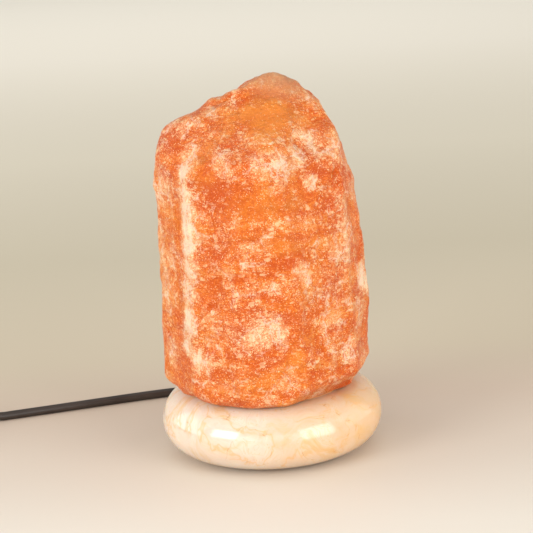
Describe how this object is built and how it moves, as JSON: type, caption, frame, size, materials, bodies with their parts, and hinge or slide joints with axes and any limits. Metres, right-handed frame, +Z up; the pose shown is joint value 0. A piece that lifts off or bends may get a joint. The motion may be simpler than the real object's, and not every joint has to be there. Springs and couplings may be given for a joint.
{
  "type": "salt crystal lamp",
  "caption": "Table lamp: a hewn rock salt block on a round polished stone disc, lit from inside by a clip-in bulb unit on a mains lead.",
  "frame": {"origin": "on the table under the centre of the stone disc", "axes": "+Z up, -Y towards the front, the mains lead leaves the back of the disc at +Y and runs off to -X"},
  "size_m": [0.382, 0.1973, 0.2008],
  "materials": {
    "rock_salt": "rough hewn, translucent",
    "polished_stone": "polished",
    "adhesive": "matte",
    "felt": "felt",
    "holder_plastic": "moulded",
    "porcelain": "glazed",
    "brass": "rolled",
    "spring_steel": "rolled",
    "zinc_steel": "zinc plated",
    "nylon": "moulded",
    "core_insulation": "extruded",
    "cord_sheath": "extruded satin",
    "switch_plastic": "fine spark texture",
    "rocker_plastic": "gloss",
    "boot_rubber": "moulded",
    "plug_plastic": "moulded",
    "plated_pins": "nickel plated",
    "black_glass": "fused glass",
    "cap_metal": "rolled",
    "clear_glass": "clear",
    "tungsten": "wire"
  },
  "bodies": {
    "power_unit": {"lampholder_cap": "holder_plastic", "lampholder_barrel": "holder_plastic", "lampholder_insulator": "porcelain", "lampholder_screw_shell": "brass", "lampholder_centre_contact": "brass", "terminal_screws": "brass", "spring_clip": "spring_steel", "clip_nut": "zinc_steel", "cord_grip": "nylon", "core_wires": "core_insulation", "lead_in_base": "cord_sheath", "cord_run": "cord_sheath", "cord_link": "cord_sheath", "cord_coil": "cord_sheath", "cord_tail": "cord_sheath", "switch_lower_shell": "switch_plastic", "switch_upper_shell": "switch_plastic", "switch_screws": "zinc_steel", "switch_boots": "boot_rubber", "switch_terminals": "brass", "switch_cores": "core_insulation", "plug_body": "plug_plastic", "plug_pins": "plated_pins", "plug_boot": "boot_rubber"},
    "stone_body": {"salt_crystal": "rock_salt", "bond_layer": "adhesive", "stone_base": "polished_stone", "base_pads": "felt"},
    "bulb_tip": {"bulb_contact": "brass"},
    "bulb": {"bulb_insulator": "black_glass", "bulb_cap": "cap_metal", "bulb_glass": "clear_glass", "bulb_stem": "clear_glass", "bulb_filament": "tungsten"},
    "rocker": {"switch_rocker": "rocker_plastic"}
  },
  "joints": [
    {"name": "stone_body_lift", "type": "slide", "parent": "power_unit", "child": "stone_body", "axis": [0, 0, 1], "range_m": [0, 0.125]},
    {"name": "bulb_rise", "type": "slide", "parent": "power_unit", "child": "bulb_tip", "axis": [0, 0, 1], "range_m": [0, 0.01693]},
    {"name": "bulb_turn", "type": "hinge", "parent": "bulb_tip", "child": "bulb", "pos_m": [0, 0, 0.071], "axis": [0, 0, 1], "range_deg": [0, 2160]},
    {"name": "rocker_tip", "type": "hinge", "parent": "power_unit", "child": "rocker", "pos_m": [-0.2309, 0.04575, 0.0155], "axis": [-0.287, 0.9579, 0], "range_deg": [0, 18]}
  ],
  "couplings": [
    {"joint": "bulb_rise", "follows": "bulb_turn", "m_per_rad": 0.00044914}
  ]
}
